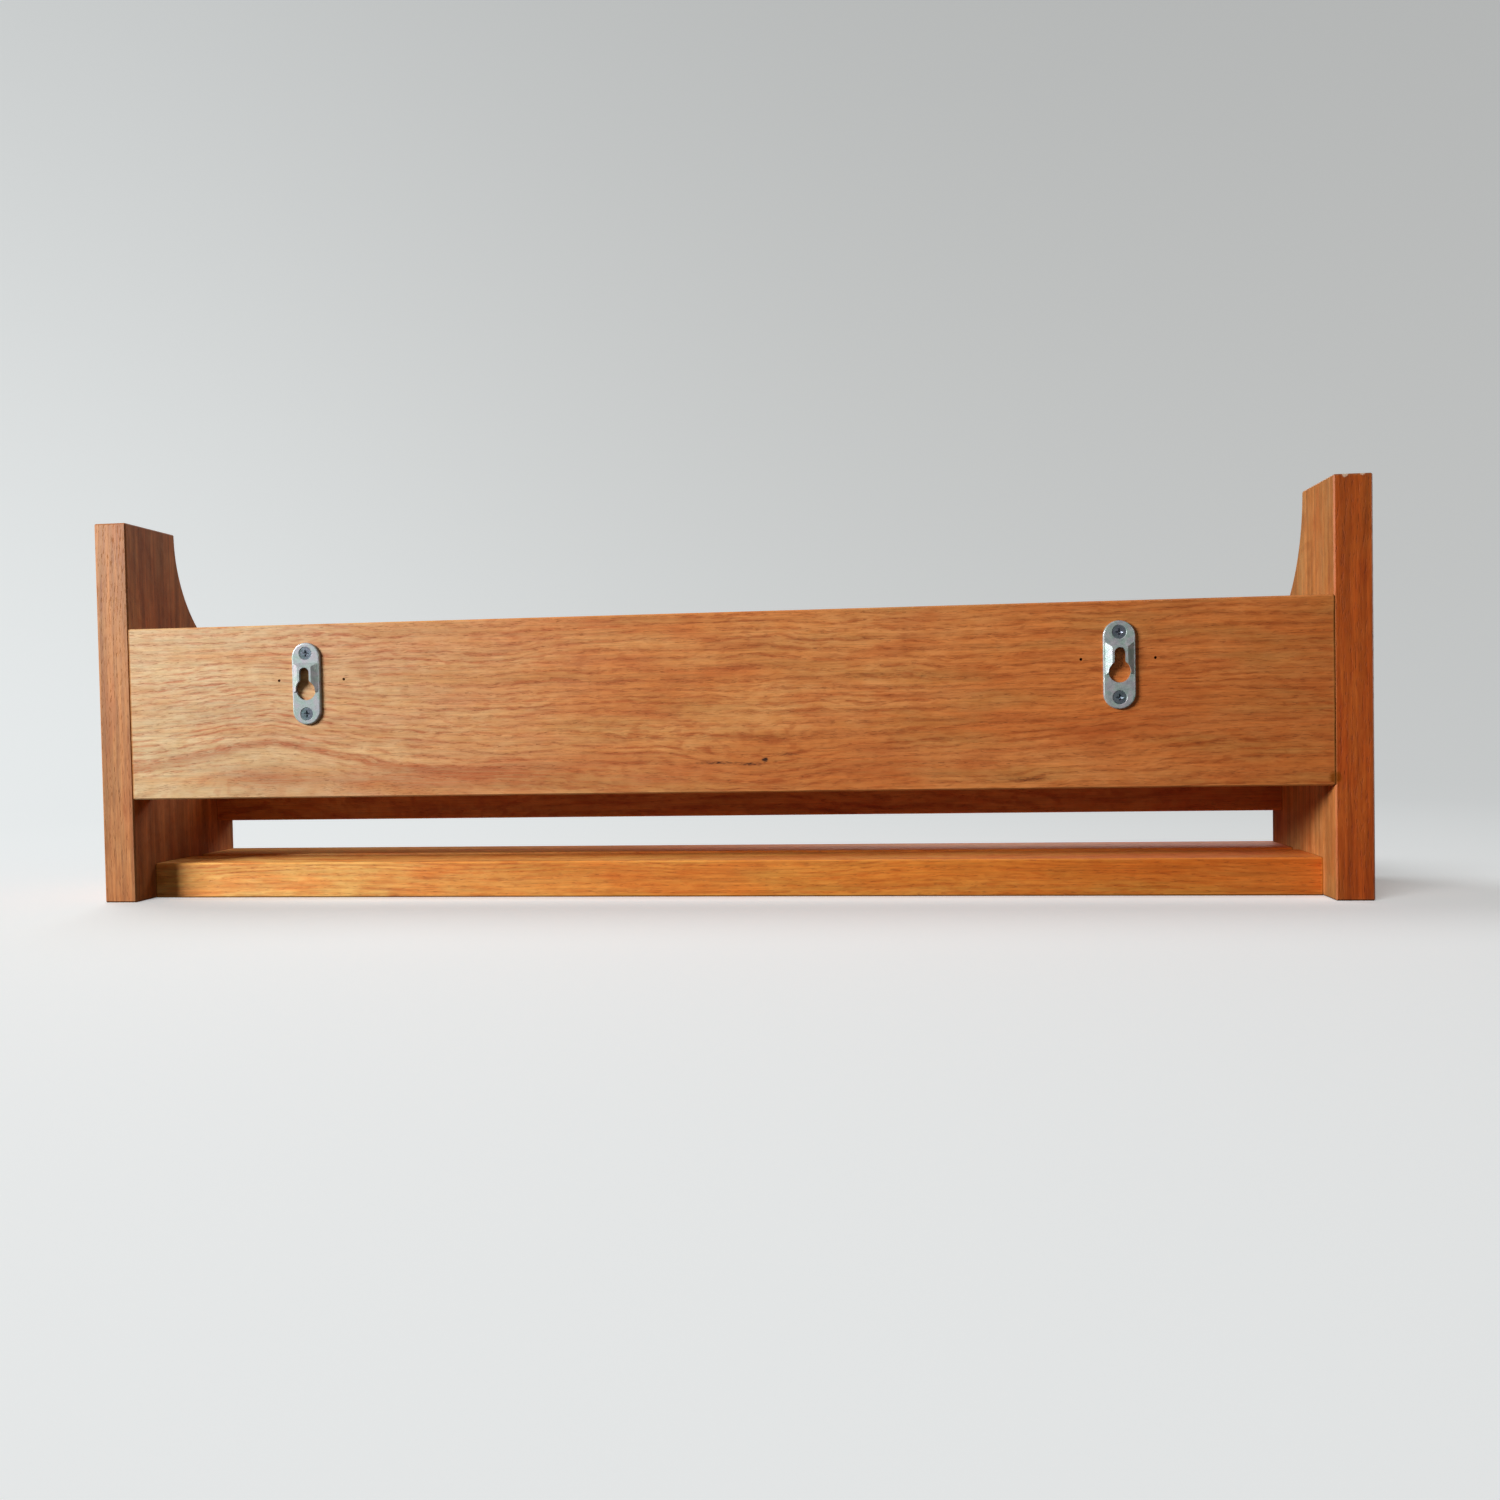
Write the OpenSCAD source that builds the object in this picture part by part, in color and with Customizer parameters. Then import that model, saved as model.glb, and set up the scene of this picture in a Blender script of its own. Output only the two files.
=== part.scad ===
// Wall plate rack in oak: two scooped side boards carry a back rail, a grooved shelf and a front
// rail on hidden dowels, and two stamped keyhole plates on the back rail hang it on two screws.
// Millimetres. The front faces -Y, the wall is at +Y and +Z is up.

/* [Side boards] */
// Width of the rack over both side boards
rack_w = 635; // [560:1:720]
// Depth of a side board at its foot
rack_d = 96.5; // [90:0.5:110]
// Height of a side board
side_h = 198.5; // [185:0.5:215]
// Depth of a side board at its top edge
side_top_d = 44; // [36:0.5:52]
// Radius of the scoop, drawn from a centre level with the top edge
scoop_r = 70; // [60:0.5:80]
// Thickness of the side boards
side_t = 17.5; // [16:0.5:20]
// Leg of the small chamfer that eases every arris
ease = 0.7; // [0.3:0.1:1.2]

/* [Back rail] */
// Thickness of the back rail
back_rail_t = 17.5; // [16:0.5:20]
// Height of the back rail
back_rail_h = 89; // [80:0.5:96]
// Height of the back rail's lower edge above the underside
back_rail_z = 54; // [45:0.5:60]

/* [Shelf] */
// Thickness of the shelf
shelf_t = 18.5; // [16:0.5:22]
// Width of the plate groove, cut with a round-nosed cutter
groove_w = 9.5; // [7:0.5:12]
// Depth of the plate groove
groove_depth = 5; // [4:0.5:6]
// Distance of the plate groove's centre line from the wall side
groove_setback = 58; // [52:0.5:64]

/* [Front rail] */
// Thickness of the front rail
front_rail_t = 17.5; // [16:0.5:20]
// Height of the front rail
front_rail_h = 38; // [34:0.5:46]
// Height of the open slot between the shelf and the front rail
front_slot_h = 18; // [12:0.5:24]

/* [Dowels] */
// Diameter of the dowels
dowel_d = 8; // [6:0.5:9]
// Length of a dowel
dowel_len = 30; // [26:0.5:36]
// How far a dowel stands in the side board
dowel_in_side = 11; // [8:0.5:12]
// Chamfer on a dowel's ends
dowel_chamfer = 1; // [0.5:0.1:1.5]
// Distance between the two dowels at each end of the back rail
back_rail_dowel_pitch = 50; // [40:0.5:60]
// Distance between the two dowels at each end of the shelf
shelf_dowel_pitch = 48; // [42:0.5:56]
// Distance between the two dowels at each end of the front rail
front_rail_dowel_pitch = 18; // [14:0.5:20]
// Glue room past each end of a dowel
glue_room = 1; // [0.5:0.1:2]

/* [Keyhole plates] */
// Distance between the two plates' centre lines
hanger_pitch = 405; // [360:1:460]
// Distance of a plate's centre below the back rail's top edge
hanger_drop = 30.5; // [26:0.5:38]
// Width of a plate
hanger_w = 15; // [15:0.5:18]
// Length of a plate
hanger_len = 42; // [42:0.5:46]
// Thickness of the sheet steel
sheet_t = 1.6; // [1.2:0.1:2]
// Radius that rounds the plate's outer rim
rim_r = 0.8; // [0.4:0.1:1]
// Diameter of the entry hole
entry_d = 10.3; // [9.5:0.1:10.5]
// Distance of the entry hole's centre below the plate's centre
entry_drop = 3.3; // [2.5:0.1:3.5]
// Width of the narrow slot
slot_w = 5.2; // [4.6:0.1:5.4]
// Height of the slot's end above the plate's centre
slot_reach = 8.2; // [7.6:0.1:8.4]
// Radius of the shoulders between the entry hole and the slot
shoulder_r = 1.5; // [0.8:0.1:1.6]
// Room under the raised middle for the head of the wall screw
head_room = 2; // [1.4:0.1:2.6]
// Width of the raised middle where it leaves the flat of the plate
ridge_w = 13.2; // [12.6:0.1:13.4]
// Width of the raised middle's flat top
ridge_top_w = 7.2; // [6.8:0.1:7.6]
// Metal between the slot's end and the slope above it
ridge_land = 0.3; // [0.2:0.1:0.8]
// Length of the slopes at the raised middle's two ends
ridge_run = 2.2; // [1.8:0.1:2.6]
// Distance of the raised middle's lower end below the plate's centre
ridge_foot = 4.6; // [4:0.1:5]

/* [Plate screws] */
// Distance between the two screws of a plate
screw_pitch = 31; // [30.5:0.1:31.5]
// Diameter of the countersink at the plate's face
countersink_d = 7; // [6.8:0.1:7.4]
// Diameter of a screw's head
screw_head_d = 6.4; // [5.8:0.1:6.6]
// Diameter of a screw's shank
screw_shank_d = 3.5; // [2.8:0.1:4]
// Overall length of a screw
screw_len = 12.5; // [10:0.5:14]
// Length of a screw's point
screw_point_len = 4; // [3:0.5:5]
// Reach of the cross recess from the screw's axis
recess_r = 1.8; // [1.4:0.1:2]
// Width of the cross recess's arms
recess_arm_w = 0.9; // [0.7:0.1:1.1]
// Depth of the cross recess
recess_depth = 1.2; // [0.8:0.1:1.3]

/* [Old nail holes] */
// Diameter of the nail holes that an earlier pair of hangers left
nail_hole_d = 1.4; // [1:0.1:2]
// Depth of the nail holes
nail_hole_depth = 8; // [5:0.5:12]

/* [Fits] */
// Clearance around dowels and screws
fit_gap = 0.05; // [0.03:0.01:0.1]

/* [Hidden] */
$fn = 96;
// How far a cut runs past the face that it opens
past = 1;
LEFT = -1;
RIGHT = 1;
BOTH = [LEFT, RIGHT];
inner_w = rack_w - 2 * side_t;
shelf_d = rack_d - back_rail_t;
front_rail_z = shelf_t + front_slot_h;
scoop_centre = [-side_top_d - scoop_r, side_h];
scoop_foot_z = side_h - sqrt(scoop_r ^ 2 - (side_top_d + scoop_r - rack_d) ^ 2);
hanger_z = back_rail_z + back_rail_h - hanger_drop;
ridge_h = head_room + sheet_t;
// A flat-head screw and its countersink both have a 90 degree cone, so a radius is also a depth
head_top = sheet_t - (countersink_d - screw_head_d) / 2 + fit_gap;
// Each nail hole is its distance along X and Z from the centre of the plate beside it
nail_spots = [[LEFT, -16.8, 3], [LEFT, 17.6, 3], [RIGHT, -19.6, 1.9], [RIGHT, 15.2, 1.9]];
// Centres of the dowels in a joint, as [y, z]
back_rail_dowels = [for (s = BOTH)
    [-back_rail_t / 2, back_rail_z + (back_rail_h + s * back_rail_dowel_pitch) / 2]];
shelf_dowels = [for (s = BOTH)
    [-back_rail_t - (shelf_d + s * shelf_dowel_pitch) / 2, shelf_t / 2]];
front_rail_dowels = [for (s = BOTH)
    [-rack_d + front_rail_t / 2, front_rail_z + (front_rail_h + s * front_rail_dowel_pitch) / 2]];

// ---- Frame and helpers ----

// The origin is on the wall side, midway between the centres of the two entry holes
module in_rack_frame() {
    translate([0, 0, entry_drop - hanger_z]) children();
}

// Extrudes a (y, z) outline along X, centred on X = 0
module along_x(length) {
    rotate([90, 0, 90]) linear_extrude(length, center = true) children();
}

// A (y, z) rectangle with chamfered corners, from y = 0 towards the front and from z = 0 up
module eased_section(depth, height) {
    polygon([
        [-ease, 0], [-depth + ease, 0], [-depth, ease], [-depth, height - ease],
        [-depth + ease, height], [-ease, height], [0, height - ease], [0, ease]]);
}

// Removes the arris from point p to point q, both [y, z], on both faces of a side board
module arris_cut(p, q) {
    length = norm(q - p) + 2 * ease;
    for (face = BOTH)
        translate([face * side_t / 2, (p.x + q.x) / 2, (p.y + q.y) / 2])
            rotate([atan2(q.y - p.y, q.x - p.x) - 90, 0, 0])
                linear_extrude(length, center = true) arris_diamond();
}

// Cross-section of an arris cut, centred on the arris
module arris_diamond() {
    rotate(45) square(ease * sqrt(2), center = true);
}

// Puts a piece drawn with its face up at the centre of a keyhole plate on the back rail
module on_hanger(hand) {
    translate([hand * hanger_pitch / 2, 0, hanger_z]) rotate([90, 0, 180]) children();
}

// ---- Dowels ----

module dowel() {
    r = dowel_d / 2;
    rotate([0, 90, 0])
        rotate_extrude()
            polygon([
                [0, 0], [r - dowel_chamfer, 0], [r, dowel_chamfer],
                [r, dowel_len - dowel_chamfer], [r - dowel_chamfer, dowel_len], [0, dowel_len]]);
}

module dowel_hole() {
    translate([-glue_room, 0, 0])
        rotate([0, 90, 0]) cylinder(h = dowel_len + 2 * glue_room, r = dowel_d / 2 + fit_gap);
}

// Places a dowel or its hole at each centre of a joint, across the face of one side board
module at_joint(spots, hand) {
    for (spot = spots)
        translate([hand * inner_w / 2, spot.x, spot.y])
            mirror([hand == LEFT ? 1 : 0, 0, 0]) translate([dowel_in_side - dowel_len, 0, 0]) children();
}

module joint_dowels(spots, hand) {
    color("burlywood") in_rack_frame() at_joint(spots, hand) dowel();
}

// ---- Boards ----

module side_outline() {
    difference() {
        polygon([
            [-ease, 0], [-rack_d + ease, 0], [-rack_d, ease], [-rack_d, side_h],
            [-ease, side_h], [0, side_h - ease], [0, ease]]);
        translate(scoop_centre) circle(scoop_r);
    }
}

module side_arrises() {
    arris_cut([0, 0], [0, side_h]);
    arris_cut([0, side_h], [-side_top_d, side_h]);
    arris_cut([-rack_d, scoop_foot_z], [-rack_d, 0]);
    arris_cut([-rack_d, 0], [0, 0]);
    for (face = BOTH)
        translate([face * side_t / 2, scoop_centre.x, scoop_centre.y])
            rotate([0, 90, 0]) rotate_extrude() translate([scoop_r, 0]) arris_diamond();
}

module side_board(hand) {
    color("peru") in_rack_frame() difference() {
        translate([hand * (inner_w + side_t) / 2, 0, 0]) difference() {
            along_x(side_t) side_outline();
            side_arrises();
        }
        at_joint(concat(back_rail_dowels, shelf_dowels, front_rail_dowels), hand) dowel_hole();
    }
}

module back_rail() {
    color("peru") in_rack_frame() difference() {
        translate([0, 0, back_rail_z]) along_x(inner_w) eased_section(back_rail_t, back_rail_h);
        for (hand = BOTH) {
            at_joint(back_rail_dowels, hand) dowel_hole();
            on_hanger(hand) at_plate_screws() screw_blank(fit_gap);
        }
        for (spot = nail_spots)
            on_hanger(spot[0])
                translate([-spot[1], spot[2], -nail_hole_depth])
                    cylinder(h = nail_hole_depth + past, d = nail_hole_d);
    }
}

module shelf() {
    color("peru") in_rack_frame() difference() {
        translate([0, -back_rail_t, 0]) along_x(inner_w) eased_section(shelf_d, shelf_t);
        along_x(inner_w + 2 * past) plate_groove();
        for (hand = BOTH) at_joint(shelf_dowels, hand) dowel_hole();
    }
}

// Outline of the groove in (y, z): straight walls above a half-round floor
module plate_groove() {
    floor_r = groove_w / 2;
    translate([-groove_setback, shelf_t - groove_depth + floor_r]) {
        circle(floor_r);
        translate([-floor_r, 0]) square([groove_w, groove_depth]);
    }
}

module front_rail() {
    color("peru") in_rack_frame() difference() {
        translate([0, front_rail_t - rack_d, front_rail_z])
            along_x(inner_w) eased_section(front_rail_t, front_rail_h);
        for (hand = BOTH) at_joint(front_rail_dowels, hand) dowel_hole();
    }
}

// ---- Keyhole plates, drawn flat with +Z away from the wood and +Y up the rack ----

// Half of the sheet's section at a round end, as [radius, height], with the rim rounded
module rim_section() {
    square([hanger_w / 2 - rim_r, sheet_t]);
    square([hanger_w / 2, sheet_t - rim_r]);
    translate([hanger_w / 2 - rim_r, sheet_t - rim_r])
        intersection() {
            circle(rim_r);
            square(rim_r);
        }
}

module plate_blank() {
    straight = hanger_len - hanger_w;
    for (end = BOTH) translate([0, end * straight / 2, 0]) rotate_extrude() rim_section();
    rotate([90, 0, 0]) linear_extrude(straight, center = true) {
        rim_section();
        mirror([1, 0]) rim_section();
    }
}

// The stamped middle: a flat-topped ridge with a slope on all four sides
module ridge() {
    top_y = slot_reach + ridge_land;
    foot_y = -ridge_foot;
    intersection() {
        rotate([90, 0, 0]) linear_extrude(hanger_len, center = true)
            polygon([
                [-ridge_w / 2, 0], [ridge_w / 2, 0], [ridge_w / 2, sheet_t],
                [ridge_top_w / 2, ridge_h], [-ridge_top_w / 2, ridge_h], [-ridge_w / 2, sheet_t]]);
        rotate([90, 0, 90]) linear_extrude(hanger_w, center = true)
            polygon([
                [foot_y, 0], [top_y + ridge_run, 0], [top_y + ridge_run, sheet_t],
                [top_y, ridge_h], [foot_y + ridge_run, ridge_h], [foot_y, sheet_t]]);
    }
}

// Keyhole outline with its lower centre on the entry hole and rounded shoulders under the slot
module keyhole_outline() {
    entry_r = entry_d / 2;
    slot_r = slot_w / 2;
    shoulder_x = slot_r + shoulder_r;
    shoulder_y = sqrt((entry_r + shoulder_r) ^ 2 - shoulder_x ^ 2);
    translate([0, -entry_drop]) {
        circle(entry_r);
        translate([-slot_r, 0]) square([slot_w, entry_drop + slot_reach - slot_r]);
        difference() {
            polygon([[0, 0], [shoulder_x, shoulder_y], [-shoulder_x, shoulder_y]]);
            for (side = BOTH) translate([side * shoulder_x, shoulder_y]) circle(shoulder_r);
        }
    }
    translate([0, slot_reach - slot_r]) circle(slot_r);
}

module at_plate_screws() {
    for (end = BOTH) translate([0, end * screw_pitch / 2, 0]) children();
}

module countersink() {
    cylinder(h = sheet_t, d1 = countersink_d - 2 * sheet_t, d2 = countersink_d);
    translate([0, 0, sheet_t]) cylinder(h = past, d = countersink_d);
}

module keyhole_plate(hand) {
    color("silver") in_rack_frame() on_hanger(hand) difference() {
        union() {
            plate_blank();
            ridge();
        }
        // The hollow under the ridge is the ridge itself, one sheet thickness lower
        translate([0, 0, -sheet_t]) ridge();
        translate([0, 0, -past]) linear_extrude(ridge_h + 2 * past) keyhole_outline();
        at_plate_screws() {
            countersink();
            screw_blank(fit_gap);
        }
    }
}

// ---- Screws, drawn upright on their axis with the plate's underside at Z = 0 ----

// Outer form of a flat-head screw, and with room added the hole that it needs
module screw_blank(room) {
    head_r = screw_head_d / 2 + room;
    shank_r = screw_shank_d / 2 + room;
    tip = head_top - screw_len - room;
    rotate_extrude()
        polygon([
            [0, tip], [shank_r, tip + screw_point_len], [shank_r, head_top - (head_r - shank_r)],
            [head_r, head_top], [0, head_top]]);
}

// Two crossed arms inside a cone that reaches recess_r at the face of the head
module cross_recess() {
    height = recess_depth + past;
    flare = (recess_r - recess_arm_w / 2) / recess_depth;
    translate([0, 0, head_top - recess_depth]) intersection() {
        cylinder(h = height, r1 = recess_arm_w / 2, r2 = recess_r + flare * past);
        union() {
            for (turn = [0, 90]) rotate(turn)
                translate([-recess_r, -recess_arm_w / 2, 0]) cube([2 * recess_r, recess_arm_w, height]);
        }
    }
}

module plate_screws(hand) {
    color("gainsboro") in_rack_frame() on_hanger(hand) at_plate_screws() difference() {
        screw_blank(0);
        cross_recess();
    }
}

side_board(LEFT);  // side_board_left
side_board(RIGHT);  // side_board_right
back_rail();
shelf();
front_rail();
joint_dowels(back_rail_dowels, LEFT);  // back_rail_dowels_left
joint_dowels(back_rail_dowels, RIGHT);  // back_rail_dowels_right
joint_dowels(shelf_dowels, LEFT);  // shelf_dowels_left
joint_dowels(shelf_dowels, RIGHT);  // shelf_dowels_right
joint_dowels(front_rail_dowels, LEFT);  // front_rail_dowels_left
joint_dowels(front_rail_dowels, RIGHT);  // front_rail_dowels_right
keyhole_plate(LEFT);  // keyhole_plate_left
keyhole_plate(RIGHT);  // keyhole_plate_right
plate_screws(LEFT);  // plate_screws_left
plate_screws(RIGHT);  // plate_screws_right
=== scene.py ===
import math
from collections import namedtuple

import bpy
from mathutils import Matrix, Vector


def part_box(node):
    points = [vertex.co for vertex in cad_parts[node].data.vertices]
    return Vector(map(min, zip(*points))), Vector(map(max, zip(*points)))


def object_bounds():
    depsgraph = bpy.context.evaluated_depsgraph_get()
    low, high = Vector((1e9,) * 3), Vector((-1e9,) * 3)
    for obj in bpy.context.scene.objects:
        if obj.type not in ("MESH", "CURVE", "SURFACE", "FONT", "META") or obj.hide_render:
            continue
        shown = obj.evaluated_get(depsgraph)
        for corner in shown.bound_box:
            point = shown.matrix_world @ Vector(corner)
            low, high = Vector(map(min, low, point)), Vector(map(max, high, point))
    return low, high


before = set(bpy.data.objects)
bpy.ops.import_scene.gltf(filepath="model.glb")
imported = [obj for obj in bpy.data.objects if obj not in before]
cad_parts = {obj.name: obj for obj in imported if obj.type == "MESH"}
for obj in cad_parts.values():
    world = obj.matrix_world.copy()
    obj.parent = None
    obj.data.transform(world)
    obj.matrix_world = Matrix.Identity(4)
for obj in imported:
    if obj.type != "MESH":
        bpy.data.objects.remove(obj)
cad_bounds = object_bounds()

# The rack stands in the row's frame: X along it, the wall at +Y and the boards' back edges at Y = 0.
# Stage, lights and camera are placed in metres. The materials work in millimetres of the same frame.
MM = 0.001
WORLD_TO_MM = 1 / MM
FLOOR_Z = cad_bounds[0][2]
RACK_END, RACK_FOOT, RACK_TOP = cad_bounds[0][0] / MM, cad_bounds[0][2] / MM, cad_bounds[1][2] / MM
# Sizes of the side boards that the frame doesn't give, as in part.scad
SIDE_THICKNESS, SIDE_TOP_DEPTH, SCOOP_RADIUS = 17.5, 44.0, 70.0
scene = bpy.context.scene


# ---------------------------------------------------------------- shader graphs

class Graph:
    """Builds a node tree out of expressions. Each method that makes a node returns an output of it."""

    def __init__(self, tree):
        self.tree = tree

    def node(self, kind, inputs=None, **settings):
        """The node itself, with its inputs given by name or number."""
        node = self.tree.nodes.new(kind)
        for key, value in settings.items():
            setattr(node, key, value)
        for key, value in (inputs or {}).items():
            self.plug(node.inputs[key], value)
        return node

    def plug(self, socket, value):
        if isinstance(value, bpy.types.NodeSocket):
            self.tree.links.new(value, socket)
        else:
            socket.default_value = value

    def math(self, operation, *values):
        return self.node("ShaderNodeMath", dict(enumerate(values)), operation=operation).outputs[0]

    def add(self, a, b):
        return self.math("ADD", a, b)

    def sub(self, a, b):
        return self.math("SUBTRACT", a, b)

    def mul(self, a, b):
        return self.math("MULTIPLY", a, b)

    def bell(self, square):
        """1 where square is 0, falling to 0 as it grows."""
        return self.math("EXPONENT", self.mul(square, -0.5))

    def at_least(self, least, value):
        """Squeezes 0..1 into least..1."""
        return self.math("MULTIPLY_ADD", value, 1 - least, least)

    def spread(self, value, low, high, to_low=0.0, to_high=1.0):
        """Maps low..high smoothly to to_low..to_high, and holds the ends."""
        inputs = {"Value": value, "From Min": low, "From Max": high, "To Min": to_low, "To Max": to_high}
        return self.node("ShaderNodeMapRange", inputs, interpolation_type="SMOOTHSTEP").outputs[0]

    def vector(self, x, y, z):
        return self.node("ShaderNodeCombineXYZ", {0: x, 1: y, 2: z}).outputs[0]

    def parts(self, vector):
        """All three parts of a vector."""
        return self.node("ShaderNodeSeparateXYZ", {0: vector}).outputs

    def vector_math(self, operation, *values, output=0):
        return self.node("ShaderNodeVectorMath", dict(enumerate(values)), operation=operation).outputs[output]

    def noise(self, vector, detail=2.0, roughness=0.5):
        inputs = {"Vector": vector, "Scale": 1.0, "Detail": detail, "Roughness": roughness}
        return self.node("ShaderNodeTexNoise", inputs).outputs[0]

    def ramp(self, value, stops):
        """stops is a list of (place, colour or grey)."""
        node = self.node("ShaderNodeValToRGB", {"Fac": value})
        points = node.color_ramp.elements
        while len(points) < len(stops):
            points.new(0.5)
        for point, (place, tone) in zip(points, stops):
            point.position = place
            point.color = (*(tone if isinstance(tone, tuple) else (tone,) * 3), 1.0)
        return node.outputs[0]

    def mix(self, share, a, b, blend="MIX"):
        """Colour a where share is 0 and b where it is 1. Each is an output or an RGB tuple."""
        node = self.node("ShaderNodeMix", {0: share}, data_type="RGBA", blend_type=blend)
        colours = [socket for socket in node.inputs if socket.type == "RGBA"]
        for socket, value in zip(colours, (a, b)):
            self.plug(socket, value if isinstance(value, bpy.types.NodeSocket) else (*value, 1.0))
        return next(socket for socket in node.outputs if socket.type == "RGBA")


class Material(Graph):
    """A material's graph, which principled() ends."""

    def __init__(self, name):
        self.material = bpy.data.materials.new(name)
        self.material.use_nodes = True
        super().__init__(self.material.node_tree)
        self.tree.nodes.clear()

    def coordinate(self, name):
        return self.node("ShaderNodeTexCoord").outputs[name]

    def place_in_mm(self):
        return self.vector_math("MULTIPLY", self.coordinate("Object"), (WORLD_TO_MM,) * 3)

    def bump(self, height, strength, depth):
        """A normal from a height of 0..1 that stands for depth mm."""
        inputs = {"Strength": strength, "Distance": depth * MM, "Height": height}
        return self.node("ShaderNodeBump", inputs).outputs[0]

    def principled(self, **inputs):
        """Ends the graph and gives the material. Keys are the shader's input names with _ for a space."""
        shader = self.node("ShaderNodeBsdfPrincipled")
        for key, value in inputs.items():
            self.plug(shader.inputs[key.replace("_", " ")], value)
        self.node("ShaderNodeOutputMaterial", {"Surface": shader.outputs[0]})
        return self.material


# ---------------------------------------------------------------- oak

# The axes along, across and into a board
X_ALONG_UPRIGHT, X_ALONG_FLAT, Z_ALONG = (0, 2, 1), (0, 1, 2), (2, 1, 0)
Y = 1

# What a board can carry. All lengths are in mm, and half_ is a form's reach to either side.
# Bulge: a place along and across the board where the rings rise by lift and turn redder
Bulge = namedtuple("Bulge", "along across half_along half_across lift redness")
# Arch: a cathedral figure with its top at apex along the board and its feet at foot across it. low_half and
# high_half are its half widths at its lower and higher side, and band is that of its red ring.
Arch = namedtuple("Arch", "apex foot rise low_half high_half band redness")
# Mark: a dark speck in the wood
Mark = namedtuple("Mark", "along across half_along half_across strength")
# Drift: a share of another tone that comes in from start to stop along the board
Drift = namedtuple("Drift", "start stop share tone")
# Stain: a ball round a place in the frame that gives whatever it touches its tone
Stain = namedtuple("Stain", "place reach tone")

CHIP_TONE, STAIN_TONE = (0.86, 0.62, 0.45), (0.26, 0.060, 0.004)
SPECK_TONE, JOINT_TONE = (0.05, 0.012, 0.003), (0.30, 0.095, 0.020)
# A tint is what the colour is multiplied by. The mottles run from the first of theirs to the second.
FLAME_TINT, SMOKE_TINT, END_GRAIN_TINT = (0.71, 0.45, 0.33), (0.80, 0.98, 1.05), (0.62, 0.52, 0.44)
MOTTLE_TINTS = (0.96, 0.92, 0.86), (1.03, 1.09, 1.18)

# How far the pith wanders in mm, how much streaks of strength 1 lighten and darken, and the oil's shine
PITH_WANDER = 3.0
STREAK_SWING = 0.2
SPECULAR, COAT_ROUGHNESS = 0.35, 0.5


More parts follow.
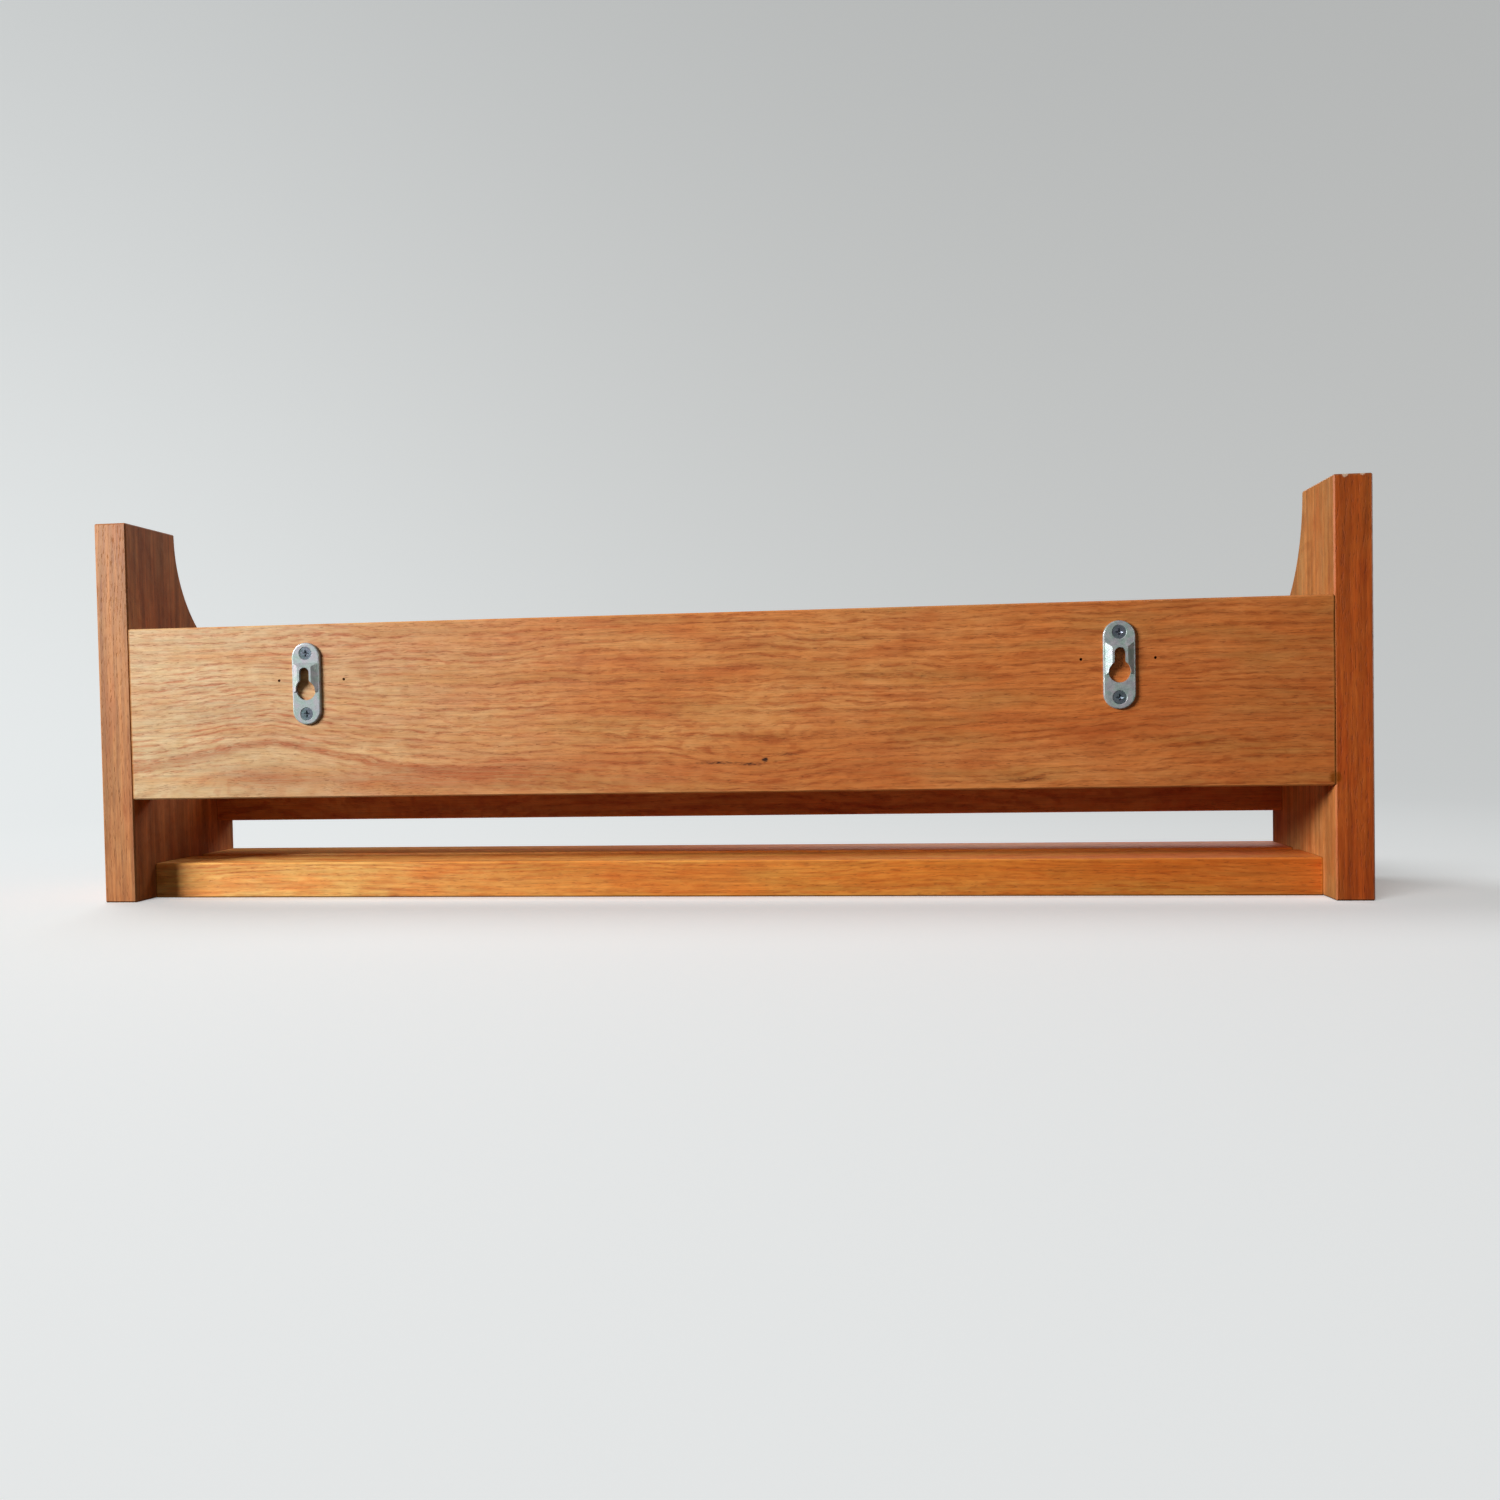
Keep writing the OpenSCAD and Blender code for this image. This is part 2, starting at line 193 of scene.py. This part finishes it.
class Oak(Material):
    """Oak cut from a log. grow() and draw_lines() make its figure, and the later methods colour it."""

    def __init__(self, name, board, grain, tones, seed):
        super().__init__(name)
        self.place = self.place_in_mm()
        self.xyz = self.parts(self.place)
        self.along, self.across, self.deep = (self.xyz[axis] for axis in grain)
        self.facing_along = self.math("ABSOLUTE", self.parts(self.coordinate("Normal"))[grain[0]])
        low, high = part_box(board)
        self.low, self.high = [edge / MM for edge in low], [edge / MM for edge in high]
        self.scooped = board.startswith("side_board")
        self.pale, self.middle, self.warm, self.dark = tones
        self.seed = seed
        self.gloss = 1.0

    # ---- fields over the board

    def field(self, length, width, depth=None, detail=2.0, shift=0.0, across=None):
        """Noise stretched to length mm along the grain and width mm across it, or across another measure."""
        across = self.across if across is None else across
        return self.noise(self.vector(self.math("MULTIPLY_ADD", self.along, 1 / length, self.seed + shift),
                                      self.math("MULTIPLY_ADD", across, 1 / width, self.seed * 1.7 - shift),
                                      self.mul(self.deep, 1 / (depth or width))), detail)

    def sway(self, noise, reach):
        """Noise turned into a move of up to about reach mm either way."""
        return self.math("MULTIPLY_ADD", noise, 3 * reach, -1.5 * reach)

    def hill(self, spot):
        """1 at a bulge or mark, falling to 0 beyond its half widths."""
        away = [self.math("POWER", self.math("DIVIDE", self.sub(axis, centre), half), 2.0)
                for axis, centre, half in ((self.along, spot.along, spot.half_along),
                                           (self.across, spot.across, spot.half_across))]
        return self.bell(self.add(*away))

    def slope(self, drift):
        """0 at the drift's start, its share at its stop."""
        way = math.copysign(1.0, drift.stop - drift.start)
        return self.spread(self.mul(self.along, way), drift.start * way, drift.stop * way, 0.0, drift.share)

    # ---- figure

    def raise_arch(self, rings, arch):
        """Rings that rise over an arch. Its own ring is a red band, with a calm field under it."""
        half = self.spread(self.along, arch.apex - 1.0, arch.apex + 1.0, arch.low_half, arch.high_half)
        away = self.math("ABSOLUTE", self.math("DIVIDE", self.sub(self.along, arch.apex), half))
        hump = self.math("EXPONENT", self.mul(self.math("POWER", away, 1.35), -1.0))
        crest = self.add(self.math("MULTIPLY_ADD", hump, arch.rise, arch.foot),
                         self.sway(self.field(16, 40, shift=21.0), reach=1.1))
        over = self.sub(self.across, crest)
        band = self.spread(self.math("ABSOLUTE", over), 0.1 * arch.band, 1.6 * arch.band, arch.redness, 0.0)
        self.flame = self.mul(band, self.spread(self.along, arch.apex - 150, arch.apex - 110))
        under = self.mul(self.spread(over, -4.0, -1.0, 1.0, 0.0), hump)
        self.calm = self.math("MULTIPLY_ADD", under, -0.55, 1.0)
        lifted = self.bell(self.math("POWER", self.mul(over, 1 / 22), 2.0))
        return self.sub(rings, self.mul(self.mul(hump, lifted), 0.8 * arch.rise))

    def grow(self, pith, ring, arch, bulges):
        """Growth rings: the distance from the pith, which wanders, with finer waves."""
        rings = self.add(self.sub(self.across, pith[0]),
                         self.sway(self.field(190, 60, detail=1.0), reach=PITH_WANDER))
        inward = self.add(self.sub(self.deep, pith[1]),
                          self.sway(self.field(150, 70, detail=1.0, shift=9.0), reach=2 * PITH_WANDER))
        self.flame, self.calm = 0.0, 1.0
        if arch:
            rings = self.raise_arch(rings, arch)
        for bulge in bulges:
            hill = self.hill(bulge)
            rings = self.sub(rings, self.mul(hill, bulge.lift))
            self.flame = self.math("MULTIPLY_ADD", hill, bulge.redness, self.flame)
        rings = self.add(rings, self.sway(self.field(46, 18, detail=1.0, shift=3.0), reach=2.4))
        rings = self.add(rings, self.sway(self.field(12, 5, detail=1.0, shift=5.0), reach=0.75))
        self.radius = self.math("SQRT", self.add(self.mul(rings, rings), self.mul(inward, inward)))
        turn = self.mul(self.radius, 1 / ring)
        uneven = self.noise(self.vector(self.mul(turn, 0.37), self.seed, 0.0), detail=1.0)
        turn = self.add(turn, self.mul(uneven, 2.2))
        self.year = self.node("ShaderNodeTexWhiteNoise", {"W": self.math("FLOOR", turn)},
                              noise_dimensions="1D").outputs["Value"]
        self.early_wood = self.ramp(self.math("FRACT", turn), [
            (0.0, 0.6), (0.12, 1.0), (0.30, 0.9), (0.48, 0.15), (0.7, 0.0), (0.9, 0.05), (1.0, 0.6)])

    def draw_lines(self):
        """Broken lines, open pores and fibres. The lines follow the rings."""
        broken = self.spread(self.field(10, 1.9, depth=14, shift=2.0, across=self.radius), 0.36, 0.60)
        line = self.mul(self.early_wood, self.at_least(0.65, self.year))
        line = self.mul(line, self.at_least(0.15, broken))
        dash = self.spread(self.field(7, 1.5, depth=10, shift=12.0, across=self.radius), 0.50, 0.68)
        self.line = self.mul(self.math("MAXIMUM", line, self.mul(dash, 0.55)), self.calm)
        open_pore = self.spread(self.field(4.0, 0.34, depth=0.5, detail=1.0, shift=7.0), 0.585, 0.66)
        self.pore = self.mul(open_pore, self.at_least(0.3, self.early_wood))
        self.fibre = self.field(18, 0.8, detail=3.0, shift=4.0)

    # ---- colour

    def paint(self, share, tone):
        self.colour = self.mix(share, self.colour, tone)

    def times(self, tint):
        """The colour multiplied by a tint."""
        return self.mix(1.0, self.colour, tint, "MULTIPLY")

    def dull(self, share):
        """Takes the oil's shine away."""
        self.gloss = self.mul(self.gloss, self.sub(1.0, share))

    def lay_tones(self, drifts, painted_light_fades):
        """Patches of the board's tones. A drift goes all round the board. A painted-light fade lies only over
        its wall side, where it pales the colour for stronger light and sheen.
        """
        patch, glow = self.field(120, 24, shift=6.0), self.field(40, 9, shift=8.0)
        self.colour = self.mix(self.spread(patch, 0.36, 0.64), self.middle, self.pale)
        for drift in drifts:
            self.paint(self.slope(drift), drift.tone)
        self.paint(self.spread(glow, 0.46, 0.68, 0.0, 0.5), self.warm)
        wall_side = self.spread(self.xyz[Y], self.high[Y] - 12.0, self.high[Y] - 1.0)
        # Painted light: each fade pales the wall side towards one end, for stronger light and sheen there
        for painted_light_fade in painted_light_fades:
            self.paint(self.mul(self.slope(painted_light_fade), wall_side), painted_light_fade.tone)
        fibrous_flame = self.mul(self.flame, self.spread(self.fibre, 0.36, 0.62, 0.4, 1.0))
        self.paint(fibrous_flame, self.times(FLAME_TINT))
        smoke = self.spread(self.field(80, 13, shift=33.0), 0.48, 0.68, 0.0, 0.5)
        self.paint(smoke, tuple(tone * tint for tone, tint in zip(self.middle, SMOKE_TINT)))

    def lay_grain(self, lines, streaks):
        """Ring lines, mottles, streaks, fibres and pores, and darker end grain, which drinks more oil."""
        depth = self.spread(self.field(55, 16, detail=1.0, shift=27.0), 0.36, 0.62, 0.5 * lines, 0.95 * lines)
        self.paint(self.mul(self.line, depth), self.dark)
        mottle = self.ramp(self.field(9, 5, shift=39.0), list(zip((0.35, 0.65), MOTTLE_TINTS)))
        self.colour = self.times(mottle)
        streak, swing = self.field(110, 3.2, detail=1.0, shift=36.0), STREAK_SWING * streaks
        self.colour = self.times(self.ramp(streak, [(0.35, 1 - swing), (0.65, 1 + swing)]))
        self.colour = self.times(self.ramp(self.fibre, [(0.3, 0.84), (0.5, 1.0), (0.7, 1.12)]))
        self.paint(self.mul(self.pore, 0.45 * lines), tuple(0.4 * tone for tone in self.dark))
        self.end_grain = self.spread(self.facing_along, 0.3, 0.95)
        self.paint(self.end_grain, self.times(END_GRAIN_TINT))

    def lay_mark(self, mark):
        speck = self.spread(self.field(2.2, 0.7, depth=3.0, detail=1.0, shift=15.0), 0.42, 0.60)
        self.paint(self.mul(self.mul(self.hill(mark), mark.strength), self.at_least(0.25, speck)), SPECK_TONE)

    def shade_back_edge(self, tint):
        """Painted shade: darkens the back edge by the tint against the faces, which glancing light shows
        paler. On the front rail this is the back face, which lies in shade.
        """
        self.paint(self.spread(self.xyz[Y], self.high[Y] - 1.0, self.high[Y] - 0.3), self.times(tint))

    def from_arris(self):
        """Distance from the nearest arris: the second smallest of those from the three pairs of faces."""
        near = []
        for axis, (low, high) in enumerate(zip(self.low, self.high)):
            away = self.math("ABSOLUTE", self.sub(self.xyz[axis], (low + high) / 2))
            near.append(self.sub((high - low) / 2, away))
        if self.scooped:
            scoop_centre = (-SIDE_TOP_DEPTH - SCOOP_RADIUS, RACK_TOP)
            squares = [self.math("POWER", self.sub(part, centre), 2.0)
                       for part, centre in zip(self.xyz[1:], scoop_centre)]
            from_scoop = self.math("ABSOLUTE", self.sub(self.math("SQRT", self.add(*squares)), SCOOP_RADIUS))
            near[Y] = self.math("MINIMUM", near[Y], from_scoop)
        a, b, c = near
        return self.math("MAXIMUM", self.math("MINIMUM", a, b),
                         self.math("MINIMUM", self.math("MAXIMUM", a, b), c))

    def wear_and_highlight_arrises(self):
        """Wear and painted highlight: pale where two faces of the board meet, broken by noise."""
        ragged = self.add(self.from_arris(), self.sway(self.field(14, 3, shift=18.0), reach=0.35))
        worn_and_lit_tone = tuple(min(1.0, 1.25 * tone + 0.03) for tone in self.pale)
        self.paint(self.spread(ragged, 0.3, 1.2, 0.2, 0.0), worn_and_lit_tone)

    def lay_stain(self, stain):
        apart = self.vector_math("DISTANCE", self.place, stain.place, output="Value")
        ragged = self.add(apart, self.sway(self.field(1.5, 1.0, detail=1.0, shift=24.0), reach=0.5))
        cover = self.spread(ragged, 0.5 * stain.reach, 1.1 * stain.reach, 0.85, 0.0)
        self.paint(cover, stain.tone)
        self.dull(cover)

    def lay_end_hairline(self, end, share):
        """Dust and shadow where one end of a board along X, -1 or 1, meets the next board."""
        at_end = self.spread(self.mul(self.along, end), self.high[0] - 0.85, self.high[0] - 0.25)
        dust = self.spread(self.field(1.0, 9.0, shift=1.0), 0.2, 0.6, 0.4 * share, share)
        self.paint(self.mul(at_end, dust), JOINT_TONE)
        self.dull(at_end)

    def lay_joint_hairline(self, share):
        """The same hairline on the side board's arris, only as high as the back rail."""
        rail_low, rail_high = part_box("back_rail")
        inner, foot, top = rail_high[0] / MM, rail_low[2] / MM, rail_high[2] / MM
        x, y, z = self.xyz
        beside = self.mul(self.spread(self.math("ABSOLUTE", x), inner + 0.3, inner + 1.0, 1.0, 0.0),
                          self.spread(y, -1.0, -0.5))
        level = self.mul(self.spread(z, foot, foot + 1.0), self.spread(z, top - 1.0, top, 1.0, 0.0))
        hairline = self.mul(beside, level)
        self.paint(self.mul(hairline, share), JOINT_TONE)
        self.dull(hairline)

    def oiled(self, coat):
        """Ends the graph with the grain's relief and the oil's shine, and gives the material."""
        relief = self.sub(self.mul(self.fibre, 0.35), self.add(self.pore, self.mul(self.line, 0.25)))
        dry = self.mul(self.math("MAXIMUM", self.pore, self.mul(self.end_grain, 0.6)), 0.25)
        rough = self.add(self.math("MULTIPLY_ADD", self.fibre, 0.12, 0.47), dry)
        return self.principled(
            Base_Color=self.colour, Roughness=rough, Normal=self.bump(relief, strength=0.8, depth=0.12),
            Coat_Weight=self.mul(self.gloss, coat), Coat_Roughness=COAT_ROUGHNESS,
            Specular_IOR_Level=self.mul(self.gloss, SPECULAR))


def oak(name, board, grain, tones, seed, pith, ring, arch=None, bulges=(), drifts=(), painted_light_fades=(), marks=(),
        back_shade_tint=None, stains=(), ends=(0.0, 0.0), joint=0.0, lines=1.0, streaks=0.3, coat=0.12):
    """The oak of one board.

    board is the node that wears it, and grain its axes along, across and into it. tones are its pale, middle,
    warm and line colours. pith is the log's centre across and into the board and ring the width of a growth
    ring, in mm. painted_light_fades pale the wall side where stronger light and sheen fall, and
    back_shade_tint is the tint of the painted shade on the back edge. ends gives the strength of the dark
    hairline at the board's low and high end, and joint that of a side board's beside the back rail. lines,
    streaks and coat are the strength of the ring lines, of the long streaks and of the oil.
    """
    wood = Oak(name, board, grain, tones, seed)
    wood.grow(pith, ring, arch, bulges)
    wood.draw_lines()
    wood.lay_tones(drifts, painted_light_fades)
    wood.lay_grain(lines, streaks)
    for mark in marks:
        wood.lay_mark(mark)
    if back_shade_tint:
        wood.shade_back_edge(back_shade_tint)
    wood.wear_and_highlight_arrises()
    for stain in stains:
        wood.lay_stain(stain)
    for end, share in zip((-1.0, 1.0), ends):
        if share:
            wood.lay_end_hairline(end, share)
    if joint:
        wood.lay_joint_hairline(joint)
    return wood.oiled(coat)


RAIL_TONES = ((0.78, 0.330, 0.096), (0.72, 0.232, 0.050), (0.62, 0.148, 0.028), (0.45, 0.085, 0.011))
SIDE_LEFT_TONES = ((0.60, 0.260, 0.082), (0.54, 0.195, 0.050), (0.50, 0.135, 0.030), (0.29, 0.062, 0.010))
SIDE_RIGHT_TONES = ((0.56, 0.210, 0.070), (0.50, 0.160, 0.048), (0.46, 0.120, 0.032), (0.28, 0.060, 0.013))
SHELF_TONES = ((0.92, 0.385, 0.067), (0.90, 0.268, 0.031), (0.84, 0.195, 0.018), (0.62, 0.108, 0.007))
DOWEL_TONES = ((0.75, 0.55, 0.34), (0.70, 0.50, 0.30), (0.70, 0.46, 0.26), (0.50, 0.32, 0.16))

# The cathedral at the back rail's +X end, the island under it and the flames beside it, and then the dip by
# the dark speck, the flames beyond it and the slope at the far end
RAIL_ARCH = Arch(apex=223, foot=-47, rise=21, low_half=64, high_half=74, band=2.2, redness=0.85)
RAIL_BULGES = [
    Bulge(225, -44.8, 19, 3.6, lift=9, redness=1.4), Bulge(161, -48.5, 17, 3.2, lift=2, redness=0.6),
    Bulge(105, -45, 46, 4.2, lift=3, redness=0.85), Bulge(40, -38, 38, 3.0, lift=0, redness=0.3),
    Bulge(29, -48, 32, 3.5, lift=0, redness=0.32), Bulge(-33, -43, 30, 9, lift=-5, redness=0.08),
    Bulge(-90, -44, 26, 5, lift=4, redness=0.5), Bulge(-150, -24, 70, 4.0, lift=1, redness=0.35),
    Bulge(-201, -28, 20, 4.0, lift=0, redness=0.4), Bulge(-285, -42, 80, 32, lift=10, redness=0.12),
]
RAIL_MARKS = [
    Mark(-32.8, -39.2, 0.65, 0.6, strength=6.0), Mark(-26, -41.2, 3.5, 0.5, strength=1.1),
    Mark(-9, -40.4, 7, 0.5, strength=1.0), Mark(-44, -36.6, 4, 0.5, strength=0.7),
    Mark(-160, -50.5, 6, 0.7, strength=0.8),
]

# Where the back rail meets the side board at the -X end, and two chips in that board's top
CORNER_STAIN = Stain((RACK_END + SIDE_THICKNESS, 0.0, RACK_FOOT + 57.7), reach=3.3, tone=STAIN_TONE)
TOP_CHIPS = [Stain((RACK_END + 12.3, 0.0, RACK_TOP), reach=1.7, tone=CHIP_TONE),
             Stain((RACK_END + 4.5, 0.0, RACK_TOP), reach=1.3, tone=CHIP_TONE)]

oak_back_rail = oak(
    "oak_back_rail", "back_rail", X_ALONG_UPRIGHT, RAIL_TONES, seed=3.1, pith=(-330, -110), ring=4.2,
    arch=RAIL_ARCH, bulges=RAIL_BULGES, marks=RAIL_MARKS, stains=[CORNER_STAIN], ends=(0.95, 0.6), lines=0.85,
    drifts=[Drift(60, -260, share=0.6, tone=(0.88, 0.236, 0.048)),
            Drift(-170, -320, share=0.5, tone=(0.56, 0.146, 0.022))],
    # Painted light and sheen: a paler tone over the wall side towards the +X end, nearest the key light
    painted_light_fades=[Drift(0, 310, share=0.8, tone=(0.60, 0.450, 0.235))])
oak_front_rail = oak(
    "oak_front_rail", "front_rail", X_ALONG_UPRIGHT, RAIL_TONES, seed=11.7, pith=(-90, -150), ring=2.4,
    # Painted shade: the back face, which lies in the back rail's shadow, is darkened
    back_shade_tint=(0.66, 0.60, 0.55), ends=(0.8, 0.8))
oak_shelf = oak(
    "oak_shelf", "shelf", X_ALONG_FLAT, SHELF_TONES, seed=17.3, pith=(-40, -190), ring=2.8,
    # Painted shade: the red patch at the +X end stands in for the side board's shadow and its warm bounce
    bulges=[Bulge(311, 0, 5, 30, lift=0, redness=0.9)], ends=(0.8, 0.8), lines=0.7,
    marks=[Mark(111.5, -0.5, 0.8, 1.5, strength=0.6), Mark(70.6, -0.5, 0.7, 1.5, strength=0.5)],
    drifts=[Drift(-20, 300, share=0.8, tone=(0.90, 0.52, 0.145)),
            Drift(-80, -300, share=0.7, tone=(0.72, 0.118, 0.005))])
oak_side_left = oak(
    "oak_side_left", "side_board_left", Z_ALONG, SIDE_LEFT_TONES, seed=23.9, pith=(-60, -390), ring=2.4,
    # Painted shade: the back edge is darkened and reddened against the paler-lit faces
    back_shade_tint=(1.02, 0.54, 0.24), stains=[*TOP_CHIPS, CORNER_STAIN], joint=0.8, lines=0.5, streaks=0.8,
    coat=0.0)
oak_side_right = oak(
    "oak_side_right", "side_board_right", Z_ALONG, SIDE_RIGHT_TONES, seed=31.3, pith=(-30, 385), ring=2.2,
    # Painted shade: the back edge is darkened a little against the faces
    back_shade_tint=(0.85, 0.92, 0.84), joint=0.5, lines=0.5, streaks=1.0, coat=0.0)
# Beech by the same recipe. The boards hide the dowels, so one material serves them all.
beech = oak(
    "beech_dowel", "back_rail_dowels_left", X_ALONG_UPRIGHT, DOWEL_TONES, seed=5.5, pith=(-200, -150),
    ring=3.0, lines=0.3)


# ---------------------------------------------------------------- zinc

# The thin film that passivates zinc tints it, from green over blue to pink
FILM_TINTS = (0.80, 1.0, 0.93), (0.95, 1.0, 1.04), (1.05, 0.93, 1.06)
SCRATCHES_PER_MM = (1.1, 1.1, 14.0)


def zinc(name, bright, dull, roughness, metallic, seed):
    """Zinc-plated steel: mottled tone and gloss between two ends, a film of colour and fine scratches."""
    g = Material(name)
    place = g.place_in_mm()

    def cloud(scale, detail, shift):
        """Noise with scale cells in a mm."""
        offset = (seed + shift, seed, shift)
        return g.noise(g.vector_math("MULTIPLY_ADD", place, (scale,) * 3, offset), detail, roughness=0.6)

    mottle = g.spread(cloud(0.45, 3.0, 0.0), 0.35, 0.68)
    grit = cloud(5.0, 2.0, 4.0)
    scratch = g.noise(g.vector_math("MULTIPLY", place, SCRATCHES_PER_MM))
    film = g.ramp(cloud(0.28, 2.0, 9.0), list(zip((0.38, 0.50, 0.62), FILM_TINTS)))
    return g.principled(
        Base_Color=g.mix(0.8, g.mix(mottle, bright, dull), film, "MULTIPLY"),
        Roughness=g.add(g.spread(mottle, 0.0, 1.0, *roughness), g.mul(g.spread(scratch, 0.45, 0.75), 0.12)),
        Normal=g.bump(g.add(g.mul(grit, 0.6), g.mul(scratch, 0.4)), strength=0.6, depth=0.04),
        Metallic=metallic)


zinc_plate = zinc("zinc_plate", bright=(0.50, 0.525, 0.51), dull=(0.34, 0.375, 0.37),
                  roughness=(0.23, 0.36), metallic=0.28, seed=2.0)
zinc_screw = zinc("zinc_screw", bright=(0.25, 0.30, 0.34), dull=(0.13, 0.165, 0.19),
                  roughness=(0.20, 0.34), metallic=0.7, seed=8.0)

WOOD_LOOKS = {"side_board_left": oak_side_left, "side_board_right": oak_side_right,
              "back_rail": oak_back_rail, "front_rail": oak_front_rail, "shelf": oak_shelf}
METAL_LOOKS = {"keyhole_plate_left": zinc_plate, "keyhole_plate_right": zinc_plate,
               "plate_screws_left": zinc_screw, "plate_screws_right": zinc_screw}
LOOKS = {**WOOD_LOOKS, **METAL_LOOKS}
for node_name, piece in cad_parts.items():
    piece.data.materials.clear()
    piece.data.materials.append(LOOKS.get(node_name, beech))


# ---------------------------------------------------------------- stage

STAGE_TONE, STAGE_GLOW, STAGE_GLOW_STRENGTH = (0.84, 0.86, 0.87), (0.94, 0.98, 1.0), 0.24
BOWL_TURNS, RIM_STEPS = 96, 18


def stage_bowl(radius, rim, height, name="stage"):
    """A flat floor that curves up by a rim into an open round wall, all in metres."""
    profile = [(0.0, 0.0), (radius - rim, 0.0)]
    for step in range(1, RIM_STEPS + 1):
        slant = math.radians(90 * step / RIM_STEPS)
        profile.append((radius - rim + rim * math.sin(slant), rim - rim * math.cos(slant)))
    profile.append((radius, height))
    verts, faces = [], []
    for r, z in profile:
        for i in range(BOWL_TURNS):
            turn = 2 * math.pi * i / BOWL_TURNS
            verts.append((r * math.cos(turn), r * math.sin(turn), FLOOR_Z + z))
    for k in range(len(profile) - 1):
        inner, outer = k * BOWL_TURNS, (k + 1) * BOWL_TURNS
        for i in range(BOWL_TURNS):
            j = (i + 1) % BOWL_TURNS
            faces.append((inner + i, inner + j, outer + j, outer + i))
    mesh = bpy.data.meshes.new(name)
    mesh.from_pydata(verts, [], faces)
    mesh.polygons.foreach_set("use_smooth", [True] * len(faces))
    mesh.materials.append(Material(name).principled(
        Base_Color=(*STAGE_TONE, 1.0), Roughness=0.9,
        Emission_Color=(*STAGE_GLOW, 1.0), Emission_Strength=STAGE_GLOW_STRENGTH))
    obj = bpy.data.objects.new(name, mesh)
    scene.collection.objects.link(obj)
    # The bowl shows and takes shadows, but doesn't flood the rack with its own light
    obj.visible_diffuse = False
    obj.visible_glossy = False
    return obj


# ---------------------------------------------------------------- light

def lamp(name, kind, place, watts, colour, only):
    """A lamp that the camera doesn't see and that lights only the objects in only."""
    data = bpy.data.lights.new(name, kind)
    data.energy, data.color = watts, colour
    obj = bpy.data.objects.new(name, data)
    obj.location = place
    obj.visible_camera = False
    scene.collection.objects.link(obj)
    obj.light_linking.receiver_collection = bpy.data.collections.new(name + "_lights")
    for receiver in only:
        obj.light_linking.receiver_collection.objects.link(receiver)
    return obj


def area_light(name, place, aim, size, watts, only, colour=(1.0, 1.0, 1.0)):
    obj = lamp(name, "AREA", place, watts, colour, only)
    obj.data.shape = "RECTANGLE"
    obj.data.size, obj.data.size_y = size
    obj.rotation_euler = (Vector(aim) - Vector(place)).to_track_quat("-Z", "Y").to_euler()


def ball_light(name, place, radius, watts, only, colour=(1.0, 1.0, 1.0)):
    lamp(name, "POINT", place, watts, colour, only).data.shadow_soft_size = radius


def room_light(wall_side, front_side):
    """A world of one colour from the wall side (+Y) and another from the front, dimmer from below."""
    world = bpy.data.worlds.new("studio")
    world.use_nodes = True
    g = Graph(world.node_tree)
    way = g.parts(g.node("ShaderNodeTexCoord").outputs["Generated"])
    background = world.node_tree.nodes["Background"].inputs
    g.plug(background["Color"], g.mix(g.spread(way["Y"], -0.5, 0.5), front_side, wall_side))
    g.plug(background["Strength"], g.spread(way["Z"], -0.3, 0.1, 0.35, 1.0))
    scene.world = world


bowl = stage_bowl(radius=2.9, rim=2.0, height=3.4)
room_light(wall_side=(0.15, 0.135, 0.115), front_side=(0.05, 0.047, 0.043))
rack = list(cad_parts.values())
metal = [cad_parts[name] for name in METAL_LOOKS]
area_light("key", place=(1.20, 0.82, 0.52), aim=(-0.02, 0.0, -0.02), size=(0.56, 0.44), watts=32.0,
           only=rack, colour=(0.97, 0.99, 1.0))
area_light("front", place=(-0.4, -1.5, 1.3), aim=(0.0, 0.0, 0.0), size=(1.2, 1.2), watts=20.0, only=rack)
area_light("glint", place=(1.5, 0.22, 0.03), aim=(0.0, 0.0, 0.0), size=(0.3, 0.5), watts=4.0, only=metal)
area_light("rim", place=(-0.9, 0.9, 0.3), aim=(0.0, 0.0, 0.0), size=(0.5, 0.5), watts=1.8, only=metal)
area_light("top", place=(0.35, 1.0, 2.1), aim=(0.0, 0.3, 0.0), size=(0.9, 0.9), watts=22.0, only=[bowl])
area_light("fill", place=(-1.2, -0.45, 0.02), aim=(-0.32, -0.05, 0.0), size=(0.5, 0.5), watts=5.0,
           only=[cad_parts["side_board_left"]])
ball_light("wash", place=(0.9, -0.6, 1.5), radius=0.5, watts=46.0, only=[bowl], colour=(0.95, 0.99, 1.0))
scene.view_settings.view_transform = "Standard"


# ---------------------------------------------------------------- camera

# Fitted to the corners of the boards in the photographed view
YAW, PITCH, ROLL = (math.radians(angle) for angle in (6.728, -1.364, -1.078))
CAMERA_PLACE = (-0.0960, 0.5975, -0.0200)
FOCAL_PX, IMAGE_PX, SENSOR_MM = 1223.2, 1500, 36.0
NEAREST = 0.01

ahead = Vector((math.sin(YAW) * math.cos(PITCH), -math.cos(YAW) * math.cos(PITCH), math.sin(PITCH)))
level = Vector((-math.cos(YAW), -math.sin(YAW), 0.0))
upright = Vector((-math.sin(PITCH) * math.sin(YAW), math.sin(PITCH) * math.cos(YAW), math.cos(PITCH)))
right = math.cos(ROLL) * level + math.sin(ROLL) * upright
up = -math.sin(ROLL) * level + math.cos(ROLL) * upright
camera_data = bpy.data.cameras.new("camera")
camera_data.sensor_width = SENSOR_MM
camera_data.lens = SENSOR_MM * FOCAL_PX / IMAGE_PX
camera_data.clip_start = NEAREST
camera = bpy.data.objects.new("camera", camera_data)
camera.matrix_world = Matrix.Translation(CAMERA_PLACE) @ Matrix((right, up, -ahead)).transposed().to_4x4()
scene.collection.objects.link(camera)
scene.camera = camera
